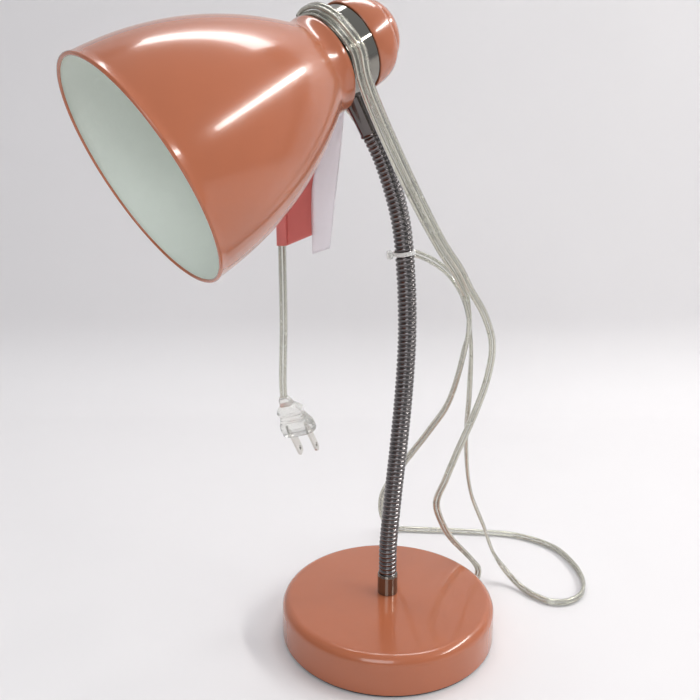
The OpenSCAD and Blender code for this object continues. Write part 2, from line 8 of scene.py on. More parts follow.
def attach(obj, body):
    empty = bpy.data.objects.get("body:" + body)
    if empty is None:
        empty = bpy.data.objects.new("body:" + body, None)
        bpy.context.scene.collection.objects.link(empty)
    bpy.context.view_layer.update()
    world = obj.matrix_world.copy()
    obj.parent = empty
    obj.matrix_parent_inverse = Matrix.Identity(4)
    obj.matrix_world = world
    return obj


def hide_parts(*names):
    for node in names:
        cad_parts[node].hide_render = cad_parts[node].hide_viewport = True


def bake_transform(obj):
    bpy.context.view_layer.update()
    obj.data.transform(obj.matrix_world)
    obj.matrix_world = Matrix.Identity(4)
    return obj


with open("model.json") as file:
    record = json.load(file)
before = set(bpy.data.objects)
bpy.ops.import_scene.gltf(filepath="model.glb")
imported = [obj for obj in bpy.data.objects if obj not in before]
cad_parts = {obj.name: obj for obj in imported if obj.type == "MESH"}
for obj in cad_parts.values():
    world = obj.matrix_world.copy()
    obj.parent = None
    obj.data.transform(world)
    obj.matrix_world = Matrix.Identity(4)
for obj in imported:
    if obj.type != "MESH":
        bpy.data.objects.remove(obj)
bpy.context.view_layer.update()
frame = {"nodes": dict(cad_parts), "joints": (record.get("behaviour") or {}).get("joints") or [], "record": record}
mm = 0.001
nodes = frame["nodes"]
joints = {j["name"]: j for j in frame["joints"]}
mounts = {m["name"]: m for m in frame["record"]["mounts"]}
bendNames = [f"bend_{i}" for i in range(1, 9)]
armBodies = ["base"] + [f"link_{i}" for i in range(1, 8)] + ["head"]

# Camera: matched to the photograph's viewing angle, in the frame's metres.
photoView = {"at": (-0.2691, -0.3564, 0.29735), "towards": (0.5422, 0.8136, -0.2103), "lens": 36.0, "sensor": 36.0}


def makeCamera():
    data = bpy.data.cameras.new("photoCamera")
    data.lens, data.sensor_width = photoView["lens"], photoView["sensor"]
    data.clip_start, data.clip_end = 0.01, 30
    camera = bpy.data.objects.new("photoCamera", data)
    camera.location = photoView["at"]
    camera.rotation_mode = "QUATERNION"
    camera.rotation_quaternion = Vector(photoView["towards"]).to_track_quat("-Z", "Y")
    bpy.context.scene.collection.objects.link(camera)
    bpy.context.scene.camera = camera


makeCamera()

# Head frame: z runs to the rear along the shade's axis, x down the arm's collar, y to the far side.
rearWay = -Vector(mounts["lamp_socket"]["axis"]).normalized()
headAt = Vector(joints["knob_turn"]["pos_m"])
headAt.y = 0
collarWay = Vector((0, 1, 0)).cross(rearWay).normalized()
headMatrix = Matrix((
    (collarWay.x, 0, rearWay.x, headAt.x), (collarWay.y, 1, rearWay.y, headAt.y),
    (collarWay.z, 0, rearWay.z, headAt.z), (0, 0, 0, 1)))
print("frame loaded, camera set")


# Shader helpers

def linear(rgb):
    return tuple((c / 12.92 if c <= 0.04045 else ((c + 0.055) / 1.055) ** 2.4)
                 for c in (v / 255 for v in rgb)) + (1,)


def feed(tree, socket, value):
    if isinstance(value, bpy.types.NodeSocket):
        tree.links.new(value, socket)
    else:
        socket.default_value = value


def put(tree, kind, inputs=None, **settings):
    node = tree.nodes.new(kind)
    for key, value in settings.items():
        setattr(node, key, value)
    for key, value in (inputs or {}).items():
        feed(tree, node.inputs[key], value)
    return node


def mathNode(tree, operation, a, b=0.0, clamp=False):
    return put(tree, "ShaderNodeMath", {0: a, 1: b}, operation=operation, use_clamp=clamp).outputs[0]


def mixColour(tree, factor, a, b, how="MIX"):
    node = put(tree, "ShaderNodeMix", data_type="RGBA", blend_type=how)
    for index, value in ((0, factor), (6, a), (7, b)):
        feed(tree, node.inputs[index], value)
    return node.outputs[2]


def spread(tree, value, low, high, toLow, toHigh):
    return put(tree, "ShaderNodeMapRange", {0: value, 1: low, 2: high, 3: toLow, 4: toHigh}).outputs[0]


def newGroup(name, inputs, outputs):
    tree = bpy.data.node_groups.new(name, "ShaderNodeTree")
    for label, kind, value in inputs:
        socket = tree.interface.new_socket(label, in_out="INPUT", socket_type=kind)
        socket.default_value = value
    for label, kind in outputs:
        tree.interface.new_socket(label, in_out="OUTPUT", socket_type=kind)
    return tree, tree.nodes.new("NodeGroupInput").outputs, tree.nodes.new("NodeGroupOutput").inputs


def use(tree, group, **values):
    node = tree.nodes.new("ShaderNodeGroup")
    node.node_tree = group
    for key, value in values.items():
        feed(tree, node.inputs[key.replace("_", " ")], value)
    return node.outputs


def makeSmudgeGroup():
    # Faint handling marks: a slow change of colour and of roughness, with fine dust in it.
    tree, given, out = newGroup("smudges", [
        ("Colour", "NodeSocketColor", (0.8, 0.8, 0.8, 1)), ("Scale", "NodeSocketFloat", 30.0),
        ("Tint", "NodeSocketFloat", 0.04), ("Roughness", "NodeSocketFloat", 0.3),
        ("Roughness spread", "NodeSocketFloat", 0.08)],
        [("Colour", "NodeSocketColor"), ("Roughness", "NodeSocketFloat")])
    place = put(tree, "ShaderNodeTexCoord").outputs["Object"]
    slow = put(tree, "ShaderNodeTexNoise", {
        "Vector": place, "Scale": given["Scale"], "Detail": 4.0, "Roughness": 0.6}).outputs[0]
    fineScale = mathNode(tree, "MULTIPLY", given["Scale"], 14.0)
    fine = put(tree, "ShaderNodeTexNoise", {"Vector": place, "Scale": fineScale, "Detail": 2.0}).outputs[0]
    mask = spread(tree, slow, 0.35, 0.7, 0.0, 1.0)
    dust = spread(tree, fine, 0.62, 0.75, 0.0, 0.5)
    marks = mathNode(tree, "MAXIMUM", mask, dust)
    shade = mathNode(tree, "SUBTRACT", 1.0, mathNode(tree, "MULTIPLY", given["Tint"], marks))
    grey = put(tree, "ShaderNodeCombineColor", {0: shade, 1: shade, 2: shade}).outputs[0]
    tree.links.new(mixColour(tree, 1.0, given["Colour"], grey, "MULTIPLY"), out["Colour"])
    change = mathNode(tree, "MULTIPLY", given["Roughness spread"], mathNode(tree, "SUBTRACT", marks, 0.4))
    tree.links.new(mathNode(tree, "ADD", given["Roughness"], change, True), out["Roughness"])
    return tree


def makeSkinGroup():
    # Height of a coat of paint or of moulded plastic: soft orange peel with fine grain over it.
    tree, given, out = newGroup("skinHeight", [
        ("Scale", "NodeSocketFloat", 400.0), ("Grain", "NodeSocketFloat", 0.3)], [("Height", "NodeSocketFloat")])
    place = put(tree, "ShaderNodeTexCoord").outputs["Object"]
    peel = put(tree, "ShaderNodeTexNoise", {"Vector": place, "Scale": given["Scale"], "Detail": 1.0}).outputs[0]
    grainScale = mathNode(tree, "MULTIPLY", given["Scale"], 6.0)
    grain = put(tree, "ShaderNodeTexNoise", {"Vector": place, "Scale": grainScale, "Detail": 3.0}).outputs[0]
    fineHeight = mathNode(tree, "MULTIPLY", grain, given["Grain"])
    tree.links.new(mathNode(tree, "ADD", peel, fineHeight), out["Height"])
    return tree


smudges = makeSmudgeGroup()
skinHeight = makeSkinGroup()


def finish(name, colour, roughness, metallic=0.0, tint=0.04, roughSpread=0.08, smudgeScale=30.0,
           peel=0.0, peelScale=400.0, grain=0.3, **sockets):
    material = bpy.data.materials.new(name)
    material.use_nodes = True
    tree = material.node_tree
    shader = tree.nodes["Principled BSDF"]
    marks = use(tree, smudges, Colour=colour, Scale=smudgeScale, Tint=tint, Roughness=roughness,
                Roughness_spread=roughSpread)
    tree.links.new(marks["Colour"], shader.inputs["Base Color"])
    tree.links.new(marks["Roughness"], shader.inputs["Roughness"])
    shader.inputs["Metallic"].default_value = metallic
    for key, value in sockets.items():
        shader.inputs[key.replace("_", " ")].default_value = value
    if peel:
        height = use(tree, skinHeight, Scale=peelScale, Grain=grain)["Height"]
        bump = put(tree, "ShaderNodeBump", {"Height": height, "Strength": peel, "Distance": 0.0002})
        tree.links.new(bump.outputs[0], shader.inputs["Normal"])
    return material


# Finishes: name, colour, roughness, and what differs from a plain matt surface.
finishes = {key: finish(name, colour, roughness, **rest) for key, name, colour, roughness, rest in [
    ("enamel", "terracottaEnamel", linear((176, 101, 68)), 0.2, dict(
        tint=0.06, roughSpread=0.05, smudgeScale=22, peel=0.12, peelScale=260, grain=0.05, Coat_Weight=0.4,
        Coat_Roughness=0.05)),
    ("enamelInside", "paleInsideEnamel", linear((232, 239, 231)), 0.5, dict(tint=0.05, peel=0.2, peelScale=500)),
    # Both chromes are given dark colours: painted shade standing for the dim room that they reflect.
    ("chrome", "polishedChromeWithPaintedShade", (0.25, 0.24, 0.215, 1), 0.06, dict(
        metallic=1.0, tint=0.05, roughSpread=0.06, smudgeScale=60)),
    # The ferrule's chrome is darker still: the same chrome with more painted shade.
    ("ferruleChromeWithPaintedShade", "ferruleChromeWithPaintedShade", (0.14, 0.125, 0.12, 1), 0.12, dict(metallic=1.0, tint=0.08, smudgeScale=80)),
    ("blackNickel", "blackNickel", (0.19, 0.178, 0.178, 1), 0.17, dict(
        metallic=1.0, tint=0.15, roughSpread=0.1, smudgeScale=90, peel=0.15, peelScale=900)),
    ("zinc", "zincPlate", (0.62, 0.62, 0.6, 1), 0.34, dict(
        metallic=1.0, tint=0.12, smudgeScale=120, peel=0.2, peelScale=900)),
    ("brass", "brassSheet", (0.78, 0.58, 0.26, 1), 0.28, dict(metallic=1.0, tint=0.16, smudgeScale=120)),
    ("nickel", "nickelBlade", (0.7, 0.68, 0.64, 1), 0.22, dict(metallic=1.0, tint=0.1, smudgeScale=150)),
    ("strand", "tinnedStrand", (0.74, 0.72, 0.65, 1), 0.24, dict(metallic=1.0, tint=0.1, smudgeScale=200)),
    ("iron", "castIron", (0.07, 0.07, 0.072, 1), 0.7, dict(
        metallic=0.4, tint=0.3, peel=0.9, peelScale=700, grain=0.8)),
    ("foam", "darkFoam", linear((46, 45, 44)), 0.95, dict(tint=0.3, peel=0.9, peelScale=1500, grain=0.8)),
    ("porcelain", "porcelain", linear((236, 232, 222)), 0.22, dict(tint=0.04, peel=0.08, Coat_Weight=0.4)),
    ("ivory", "ivoryPlastic", linear((222, 215, 198)), 0.4, dict(tint=0.05, peel=0.15)),
    ("blackPlastic", "blackPlastic", linear((36, 34, 33)), 0.38, dict(tint=0.2, peel=0.2, peelScale=900)),
    ("clearLead", "clearLead", (0.92, 0.93, 0.88, 1), 0.07, dict(
        tint=0.03, roughSpread=0.04, Transmission_Weight=0.92, IOR=1.46, Coat_Weight=0.2)),
    ("clearPlug", "clearPlug", (0.95, 0.955, 0.925, 1), 0.16, dict(
        tint=0.03, roughSpread=0.05, peel=0.1, Transmission_Weight=0.85, IOR=1.46)),
    ("clearTie", "clearTie", (0.93, 0.93, 0.9, 1), 0.28, dict(
        tint=0.03, peel=0.12, Transmission_Weight=0.55, IOR=1.46)),
    ("paperRed", "redPaper", linear((224, 122, 116)), 0.62, dict(tint=0.08, peel=0.25, peelScale=1800, grain=0.7)),
    ("paperWhite", "whitePaper", linear((250, 246, 250)), 0.62, dict(
        tint=0.05, peel=0.25, peelScale=1800, grain=0.7, Transmission_Weight=0.75)),
]}


def dress(node, key):
    data = nodes[node].data
    data.materials.clear()
    data.materials.append(finishes[key])


print("finishes made")


# Mesh helpers

def newPiece(name, points, faces, materials, body=None, slot=None, faceMaterials=None, smooth=True):
    mesh = bpy.data.meshes.new(name)
    mesh.from_pydata([tuple(p) for p in points], [], [tuple(f) for f in faces])
    for key in materials:
        mesh.materials.append(finishes[key])
    if faceMaterials is not None:
        mesh.polygons.foreach_set("material_index", np.asarray(faceMaterials, np.int32))
    if smooth:
        mesh.polygons.foreach_set("use_smooth", np.ones(len(mesh.polygons), bool))
    mesh.update()
    piece = bpy.data.objects.new(name, mesh)
    bpy.context.scene.collection.objects.link(piece)
    if body:
        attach(piece, body)
    return piece


def lathe(name, profile, place, materials, steps=160, split=None, **kind):
    # profile: (radius, height) in mm, where a radius of 0 closes the end; split: index where the second finish starts.
    points, rows = [], []
    for r, z in profile:
        if r < 1e-6:
            rows.append([len(points)])
            points.append(Vector((0, 0, z * mm)))
        else:
            rows.append(range(len(points), len(points) + steps))
            points += [Vector((r * mm * math.cos(a), r * mm * math.sin(a), z * mm))
                       for a in (2 * math.pi * k / steps for k in range(steps))]
    faces, marks = [], []
    for i, (a, b) in enumerate(zip(rows, rows[1:])):
        for k in range(steps):
            n = (k + 1) % steps
            ring = [a[k % len(a)], a[n % len(a)], b[n % len(b)], b[k % len(b)]]
            faces.append(list(dict.fromkeys(ring)))
            marks.append(0 if split is None or i < split else 1)
    return newPiece(name, [place @ p for p in points], faces, materials, faceMaterials=marks, **kind)


def arcPoints(cx, cy, r, a0, a1, n):
    angles = [math.radians(a0 + (a1 - a0) * i / n) for i in range(n + 1)]
    return [(cx + r * math.cos(a), cy + r * math.sin(a)) for a in angles]


def ringFaces(count, rows, start=0):
    # Quads between rings of count points that follow one another in the list of points.
    return [(start + count * i + k, start + count * i + (k + 1) % count,
             start + count * (i + 1) + (k + 1) % count, start + count * (i + 1) + k)
            for i in range(rows - 1) for k in range(count)]


def endFaces(count, rows, start=0):
    return [tuple(start + k for k in range(count))[::-1],
            tuple(start + count * (rows - 1) + k for k in range(count))]


def mixed(a, b, count):
    return [Vector(a).lerp(Vector(b), i / (count - 1)) for i in range(count)]


def smoothPath(points, normals, step):
    # Centripetal Catmull-Rom through the points, sampled about every step; the normals follow along.
    points = [Vector(p) for p in points]
    ends = [points[0] * 2 - points[1]] + points + [points[-1] * 2 - points[-2]]
    out, outNormals = [], []
    for i in range(len(points) - 1):
        p0, p1, p2, p3 = ends[i:i + 4]
        t0 = 0.0
        t1 = t0 + max((p1 - p0).length, 1e-9) ** 0.5
        t2 = t1 + max((p2 - p1).length, 1e-9) ** 0.5
        t3 = t2 + max((p3 - p2).length, 1e-9) ** 0.5
        count = max(2, round((p2 - p1).length / step))
        for k in range(count):
            u = k / count
            t = t1 + (t2 - t1) * u
            a1 = p0 * ((t1 - t) / (t1 - t0)) + p1 * ((t - t0) / (t1 - t0))
            a2 = p1 * ((t2 - t) / (t2 - t1)) + p2 * ((t - t1) / (t2 - t1))
            a3 = p2 * ((t3 - t) / (t3 - t2)) + p3 * ((t - t2) / (t3 - t2))
            b1 = a1 * ((t2 - t) / (t2 - t0)) + a2 * ((t - t0) / (t2 - t0))
            b2 = a2 * ((t3 - t) / (t3 - t1)) + a3 * ((t - t1) / (t3 - t1))
            out.append(b1 * ((t2 - t) / (t2 - t1)) + b2 * ((t - t1) / (t2 - t1)))
            smoothU = u * u * (3 - 2 * u)
            outNormals.append(Vector(normals[i]).lerp(Vector(normals[i + 1]), smoothU))
    out.append(points[-1])
    outNormals.append(Vector(normals[-1]))
    return out, outNormals


def wayAt(path, i):
    return (path[min(i + 1, len(path) - 1)] - path[max(i - 1, 0)]).normalized()


def pathFrames(path, normals):
    # Each point with its flat side's normal and the way across the lead.
    out = []
    for i, p in enumerate(path):
        t = wayAt(path, i)
        n = (normals[i] - t * normals[i].dot(t)).normalized()
        out.append((p, n, n.cross(t)))
    return out


# Lead: a flat clear twin lead with two bundles of strands. Sizes and routes are in mm.
lead = {
    "width": 5.4, "thickness": 2.7, "strandRadius": 0.66, "strandTwist": 11.0, "sheathStep": 2.0, "strandStep": 1.3,
    "lobeSides": 9, "strandSides": 14, "strandLobes": 7, "strandDepth": 0.05, "grooveAngle": 22, "wrapGap": 0.2,
    "wrapClear": 0.6, "wrapPitch": 3.2, "floorGap": 0.25, "pathStep": 1.0, "blendSpan": (0.08, 0.92),
}
# Where the two runs round the housing start and end, in degrees from the collar, and the way that they leave it
wrap = {"from": 90, "right": 200, "left": 196, "leaving": 215, "steps": 10, "slantTurn": 45}
armDiameter = 12.5
housing = {"radius": 24.9, "from": 124.5, "shown": 20.5, "inFront": 135.6}
tie = {"above": 16.5, "turn": 56, "leadGap": 0.3, "heldAbove": 7, "heldBelow": 1.5}
nearWay, sideWay, upWay = Vector((0, -1, 0)), Vector((0.95, -0.3, 0)), Vector((0, 0, 1))


def beside(r, angle, z):
    # A place round the housing: radius, angle from the collar towards the camera, height along the shade's axis.
    a = math.radians(angle)
    return headAt / mm + r * math.cos(a) * collarWay - r * math.sin(a) * Vector((0, 1, 0)) + z * rearWay


def outward(angle):
    return beside(1, angle, 0) - headAt / mm


def tieFrame():
    # The sixth link's foot, the way along it, and the way across it in the arm's plane.
    foot, top = Vector(joints["bend_6"]["pos_m"]) / mm, Vector(joints["bend_7"]["pos_m"]) / mm
    along = (top - foot).normalized()
    return foot, along, Vector((0, 1, 0)).cross(along)


def onArm(x, y, z):
    foot, along, across = tieFrame()
    return foot + across * x + Vector((0, y, 0)) + along * z


wrapRadius = housing["radius"] + lead["thickness"] / 2 + lead["wrapGap"]
wrapLeft = housing["from"] - housing["inFront"] + lead["width"] / 2 + lead["wrapClear"]
wrapRight = wrapLeft + lead["wrapPitch"]
leadOff = armDiameter / 2 + tie["leadGap"] + lead["thickness"] / 2
toLead = Vector((math.cos(math.radians(tie["turn"])), math.sin(math.radians(tie["turn"])), 0))
heldTop = onArm(leadOff * toLead.x, leadOff * toLead.y, tie["above"] + tie["heldAbove"])
heldLow = onArm(leadOff * toLead.x, leadOff * toLead.y, tie["above"] - tie["heldBelow"])
kneeRight, kneeLeft, kneeBack = (43, -27, 241), (46, -20, 236), (49, -14, 236)
plugAt = Vector((-53, 48.9, 166.2))
outletAt = Vector((78, 0, 8.5))


def wrapPoints(r, z, last, slant):
    # Round the housing; the first eighth of a turn slants across it, as the lead comes up from the arm.
    first, steps = wrap["from"], wrap["steps"]
    angles = [first + (last - first) * i / steps for i in range(steps + 1)]
    drift = [slant * max(0, 1 - (a - first) / wrap["slantTurn"]) ** 2 for a in angles]
    return [beside(r, a, z + d) for a, d in zip(angles, drift)], [outward(a) for a in angles]


def makeRoutes():
    # On the floor the flat lead curves standing on its edge.
    onEdge = lead["width"] / 2 + lead["floorGap"]
    riser = [outletAt, (84, 0, 8.7), (88, 0.5, 12), (88.2, 1, 17.7), (83.7, 3, 24.9), (74.5, 6.3, 36),
             (66.2, 8.5, 46), (58, 10, 60), (51.5, 9.5, 78), (54, 3, 98), (57.5, -5, 122), (62, -15, 150),
             (64.5, -24, 178), (63, -29, 203), (55, -29, 223), kneeRight]
    right = [kneeRight, (33, -28.5, 254), (19, -27.5, 271), (-8.5, -26, 313), (-37, -26.5, 361)]
    left = [kneeLeft, (34, -23, 251), (20.5, -22.5, 267), (-11.5, -23.5, 311), (-39.5, -24.5, 358)]
    back = [(-50, 22, 397), (-44, 34, 393), (-35, 43, 385), (-23, 45, 374), (-11, 41, 361), (4, 28, 332), (13, 17, 296)]
    drop = [(25, 8, 262.5), (35, 1, 257.5), (43, -7, 249), kneeBack, (53, -15, 224), (55, -17, 202),
            (60, -12, 166), (69, -1, 126), (83, 7, 81), (99, 7, 47), (108, 3, 22), (113, -8, 9), (114, -20, 3.8),
            (114, -32, onEdge)]
    loop = [(x, y, onEdge) for x, y in [(114, -32), (118, -46), (128, -53), (143, -53), (160, -43), (177, -20),
                                        (186, 10), (176, 42), (140, 76), (100, 108)]]
    loopOut = [(-1, 0, 0), (-0.85, -0.5, 0), (-0.3, -0.95, 0), (0.3, -0.95, 0), (0.6, -0.8, 0),
               (0.9, -0.45, 0), (1, 0, 0), (0.85, 0.5, 0), (0.68, 0.73, 0), (0.6, 0.8, 0)]
    away = [kneeLeft, (49, -21, 218), (49, -16, 194), (57, 6, 155), (62, 31, 127), (66, 70, 84), (71, 103, 45),
            (78, 113, 22), (86, 115, 8), (93, 112, 3.4), (100, 108, onEdge)]
    hang = [(-58, 20, 393), (-57, 32, 388), (-55, 42, 379), (-53, 48, 365), (-51.5, 50, 347), (-51.5, 50, 300),
            (-52, 49, 215), (-53, 49, 190), (-53.4, 49, 176)]
    rightWrap, rightOut = wrapPoints(wrapRadius + lead["thickness"] + lead["wrapGap"], wrapRight, wrap["right"], 1.2)
    leftWrap, leftOut = wrapPoints(wrapRadius, wrapLeft, wrap["left"], 1.0)
    plugSide = Vector((-0.55, -0.83, 0))
    # Each run: its points, and the way that the lead's flat side faces at each of them.
    return {
        "riser": (riser, mixed(upWay, (-0.9, -0.2, 0.5), 4) + mixed((-0.8, -0.3, -0.6), (-0.8, -0.6, -0.3), 4)
                  + mixed((-0.6, -0.8, 0), nearWay, len(riser) - 8)),
        "right": (right + rightWrap, [nearWay] * len(right) + rightOut),
        "left": (left + leftWrap, [nearWay] * len(left) + leftOut),
        "back": ([rightWrap[-1]] + back + [heldTop],
                 [outward(wrap["right"])] + mixed(outward(wrap["leaving"]), toLead, len(back) + 1)),
        "drop": ([heldTop, heldLow] + drop,
                 [toLead] * 2 + mixed((0.6, 0.8, 0), -nearWay, 4) + mixed((-0.5, 0.9, 0), -sideWay, 3)
                 + mixed((-0.9, 0.5, 0), (-0.8, 0.6, 0.5), 4) + mixed((-0.9, 0.3, 0.4), loopOut[0], 3)),
        "loop": (loop, loopOut),
        "away": (away, [nearWay] + mixed((0.5, -0.9, 0), sideWay, 2)
                 + mixed((0.9, -0.4, 0.2), (1, 0.3, 0.5), 4) + mixed((0.8, 0.6, 0.6), (0.65, 0.75, 0.1), 3)
                 + loopOut[-1:]),
        "hang": ([leftWrap[-1]] + hang + [plugAt],
                 [outward(wrap["left"])] + mixed(outward(wrap["leaving"]), plugSide, 4) + [plugSide] * 4
                 + mixed((-0.6, -0.75, -0.2), (-0.7, -0.5, -0.5), 2)),
    }


def sheathRing(p, n, w):
    # Two round lobes side by side with a groove between them.
    r = lead["thickness"] / 2
    off = lead["width"] / 2 - r
    count, groove = lead["lobeSides"], lead["grooveAngle"]
    ring = []
    for sign in (1, -1):
        for k in range(count):
            a = math.radians(-(180 - groove) + (360 - 2 * groove) * k / (count - 1))
            ring.append((sign * (off + r * math.cos(a)), sign * r * math.sin(a)))
    return [p + w * x + n * y for x, y in ring]


def tube(rings):
    return [q * mm for ring in rings for q in ring], ringFaces(len(rings[0]), len(rings))


def resample(path, normals, step):
    lengths = np.concatenate([[0], np.cumsum([(b - a).length for a, b in zip(path, path[1:])])])
    total = lengths[-1]
    at = np.linspace(0, total, max(3, round(total / step) + 1))
    columns = [np.array([list(v) for v in values]).T for values in (path, normals)]
    return *([Vector([np.interp(s, lengths, column) for column in some]) for s in at] for some in columns), at


def leadPiece(name, run, first, last):
    # One stretch of the lead between two places along its run: a clear sheath and two bundles of strands.
    sheath = [f for f, s in zip(run["frames"], run["at"]) if first - 1e-6 <= s <= last + 1e-6]
    piece = newPiece(f"{name}_lead", *tube([sheathRing(*f) for f in sheath]), ["clearLead"], slot="cord_pvc")
    past = lead["strandStep"]
    fine = [(f, s) for f, s in zip(run["fineFrames"], run["fineAt"]) if first - past <= s <= last + past]
    offset = lead["width"] / 2 - lead["thickness"] / 2
    points, faces = [], []
    for sign in (-1, 1):
        rings = []
        for (p, n, w), s in fine:
            turn = 2 * math.pi * s / lead["strandTwist"] * sign
            ring = []
            for k in range(lead["strandSides"]):
                a = 2 * math.pi * k / lead["strandSides"]
                r = lead["strandRadius"] * (1 + lead["strandDepth"] * math.cos(lead["strandLobes"] * (a - turn)))
                ring.append(p + w * (sign * offset + r * math.cos(a)) + n * (r * math.sin(a)))
            rings.append(ring)
        faces += ringFaces(lead["strandSides"], len(rings), len(points))
        points += tube(rings)[0]
    strands = newPiece(f"{name}_strands", points, faces, ["strand"], slot="cord_pvc")
    return piece, strands, [f[0] * mm for f in sheath]


def makeRun(points, normals):
    path, flat = smoothPath(points, normals, lead["pathStep"])
    path, flat, at = resample(path, flat, lead["sheathStep"])
    finePath, fineFlat, fineAt = resample(path, flat, lead["strandStep"])
    return {"frames": pathFrames(path, flat), "at": at, "fineFrames": pathFrames(finePath, fineFlat),
            "fineAt": fineAt, "length": at[-1]}


routes = makeRoutes()
# Each run: its CAD node, the bodies that it follows from its first end to its last, and the shares of its length
# where it changes from one pair of bodies to the next.
cordPlan = {
    "riser": {"node": "cord_riser", "bodies": armBodies[:7], "shares": [0.0, 0.34, 0.472, 0.604, 0.736, 0.868, 1.0]},
    "right": {"node": "cord_strand_right", "bodies": ["link_6", "link_7", "head"], "shares": [0.0, 0.38, 1.0]},
    "left": {"node": "cord_strand_left", "bodies": ["link_6", "link_7", "head"], "shares": [0.0, 0.38, 1.0]},
    "back": {"node": "cord_back_run", "bodies": ["head", "link_7", "link_6"], "shares": [0.0, 0.62, 1.0]},
    "drop": {"node": "cord_drop", "bodies": armBodies[6::-1], "shares": [0.0, 0.16, 0.32, 0.45, 0.56, 0.67, 1.0]},
    "loop": {"node": "cord_floor_run", "bodies": ["base"], "shares": [0.0, 1.0]},
    "away": {"node": "cord_side_loop", "bodies": armBodies[6::-1], "shares": [0.0, 0.16, 0.3, 0.42, 0.54, 0.66, 1.0]},
    "hang": {"node": "cord_plug_run", "bodies": ["head"], "shares": [0.0, 1.0]},
}


def makeCords():
    for label, plan in cordPlan.items():
        run = makeRun(*routes[label])
        bodies = plan["bodies"]
        snapped = [run["at"][int(round(share * (len(run["at"]) - 1)))] for share in plan["shares"]]
        for i, (first, last) in enumerate(zip(snapped, snapped[1:])):
            name = f"{label}_{i + 1}"
            piece, strands, path = leadPiece(name, run, first, last)
            for o in (piece, strands):
                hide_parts(plan["node"])
                if len(bodies) == 1:
                    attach(o, bodies[0])
                else:
                    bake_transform(o)


makeCords()


# Base and head: turned sheet-metal pieces with true curves, profiles in mm as (radius, height).
base = {"diameter": 147, "height": 26.5, "shoulder": 6.5, "crown": 0.8, "sheet": 1.0, "pad": 1.5}
shade = {"mouth": 62.7, "bell": 113, "neckRadius": 27.2, "neck": 11.5, "sheet": 0.9, "bead": 1.1, "power": 2.15}
cap = {"radius": 25.8, "skirt": 4.2, "shoulder": 13.0, "dome": 14, "crease": 20.0}
collar = {"diameter": 14, "height": 14.6, "ferrule": 23.4, "ferruleDiameter": 13.2}
upright = Matrix.Identity(4)
mouthMatrix = headMatrix @ Matrix.Translation((0, 0, -housing["inFront"] * mm))


def makeBase():
    r, h, s = base["diameter"] / 2, base["height"], base["shoulder"]
    z0, t = base["pad"], base["sheet"]
    top = z0 + h
    outer = [(r - 0.5, z0), (r - 0.15, z0 + 0.15), (r, z0 + 0.5), (r, z0 + 0.9), (r, z0 + 6)]
    outer += arcPoints(r - s, top - base["crown"] - s, s, 0, 90, 16)
    outer += [((r - s) * (1 - i / 12), top - base["crown"] * (1 - i / 12) ** 2) for i in range(1, 12)]
    outer += [(4, top), (0, top)]
    inner = [(0, top - t), (r - s, top - base["crown"] - t), (r - t, top - base["crown"] - s), (r - t, z0 + 0.5),
             (r - 0.5, z0)]
    cover = lathe("base_shell", inner + outer[1:], upright, ["enamel"], body="base", slot="enamel", steps=240)
    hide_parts("base_cover")
    line = [(0, z0), (r - 1.4, z0), (r - 1, z0 - 0.4), (r - 1, 0.4), (r - 1.4, 0), (0, 0)]
    pad = lathe("foot_pad", line, upright, ["foam"], body="base", slot="pad", steps=200)
    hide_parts("base_pad")
    d, end = collar["diameter"] / 2, top + collar["height"]
    line = [(4.9, top), (d - 0.35, top), (d - 0.05, top + 0.1), (d, top + 0.4), (d, top + 0.7), (d, end - 1.8),
            (d, end - 1.5), (d - 0.22, end - 1.25), (d - 0.28, end - 0.9), (d - 0.22, end - 0.55),
            (d - 0.35, end - 0.2), (d - 0.7, end - 0.05), (5.6, end), (5.4, end - 0.4), (5.3, top + 4),
            (4.9, top + 4), (4.9, top)]
    standing = lathe("arm_socket", line, upright, ["chrome"], body="base", slot="chrome")
    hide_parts("lower_collar")


def bellRadius(s):
    return shade["mouth"] - (shade["mouth"] - shade["neckRadius"] - 0.6) * (s / shade["bell"]) ** shade["power"]


def makeShade():
    bell, sheet, neckEnd = shade["bell"], shade["sheet"], shade["bell"] + shade["neck"]
    nr, steps = shade["neckRadius"], 48
    inside = [(bellRadius(bell * (1 - i / steps)) - sheet * (1.02 + 0.2 * (1 - i / steps)), bell * (1 - i / steps))
              for i in range(steps + 1)]
    inside = [(17.3, neckEnd - 0.95), (nr - 2.3, neckEnd - 0.95), (nr - 1.2, neckEnd - 2.4), (nr - 1, neckEnd - 4),
              (nr - 1, bell + 3)] + inside[:-1] + [(shade["mouth"] - 1.2, 0.9)]
    bead = arcPoints(shade["mouth"] - 0.45, 0, shade["bead"], 160, 380, 14)
    outside = [(bellRadius(bell * i / steps), bell * i / steps) for i in range(1, steps - 1)]
    outside += [(nr + 2.2, bell - 2.2), (nr + 1.6, bell - 1.2), (nr + 1.1, bell), (nr + 0.75, bell + 1),
                (nr + 0.5, bell + 2), (nr + 0.32, bell + 3), (nr + 0.25, bell + 4), (nr + 0.24, bell + 5),
                (nr + 0.35, neckEnd - 4.6), (nr + 0.5, neckEnd - 3.6), (nr + 0.55, neckEnd - 2.8),
                (nr + 0.5, neckEnd - 2.1), (nr + 0.35, neckEnd - 1.5), (nr + 0.02, neckEnd - 0.85),
                (nr - 0.5, neckEnd - 0.35), (nr - 1.1, neckEnd - 0.08), (nr - 1.6, neckEnd), (17.3, neckEnd)]
    shell = lathe("shade_shell", inside + bead + outside, mouthMatrix, ["enamelInside", "enamel"], body="head",
                  slot="enamel", steps=256, split=len(inside) + 1)
    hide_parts("shade")


